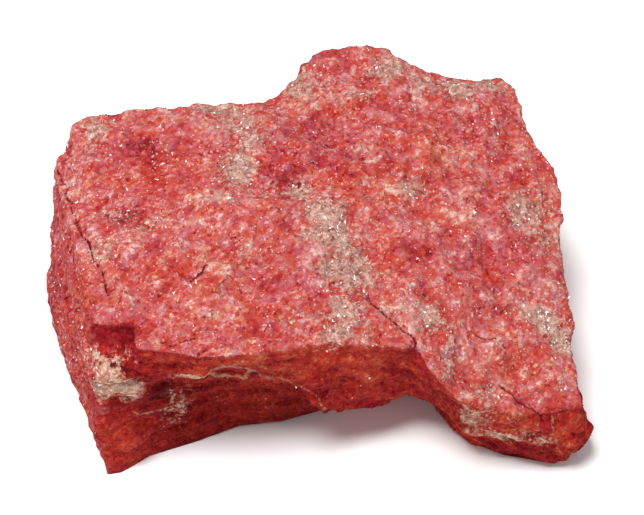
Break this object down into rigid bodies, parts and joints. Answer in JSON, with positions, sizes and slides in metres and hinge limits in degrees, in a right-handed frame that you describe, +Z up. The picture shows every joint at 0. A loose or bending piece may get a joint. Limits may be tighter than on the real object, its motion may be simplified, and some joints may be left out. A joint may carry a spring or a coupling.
{
  "type": "thulite specimen",
  "caption": "Hand-sized broken block of pink-red rock with a granular, nearly level top, a stepped and undercut front, paler quartz patches and a flat underside to lie on.",
  "frame": {"origin": "centre of the block's length and depth, on the plane that it lies on", "axes": "+X along the block's length, to the right as seen from its stepped front; +Y from the front to the back; +Z up through the top face"},
  "size_m": [0.075, 0.055, 0.029],
  "materials": {
    "thulite": "freshly broken, granular and matt, with small glints from crystal faces"
  },
  "bodies": {
    "root": {"thulite_block": "thulite"}
  },
  "joints": []
}
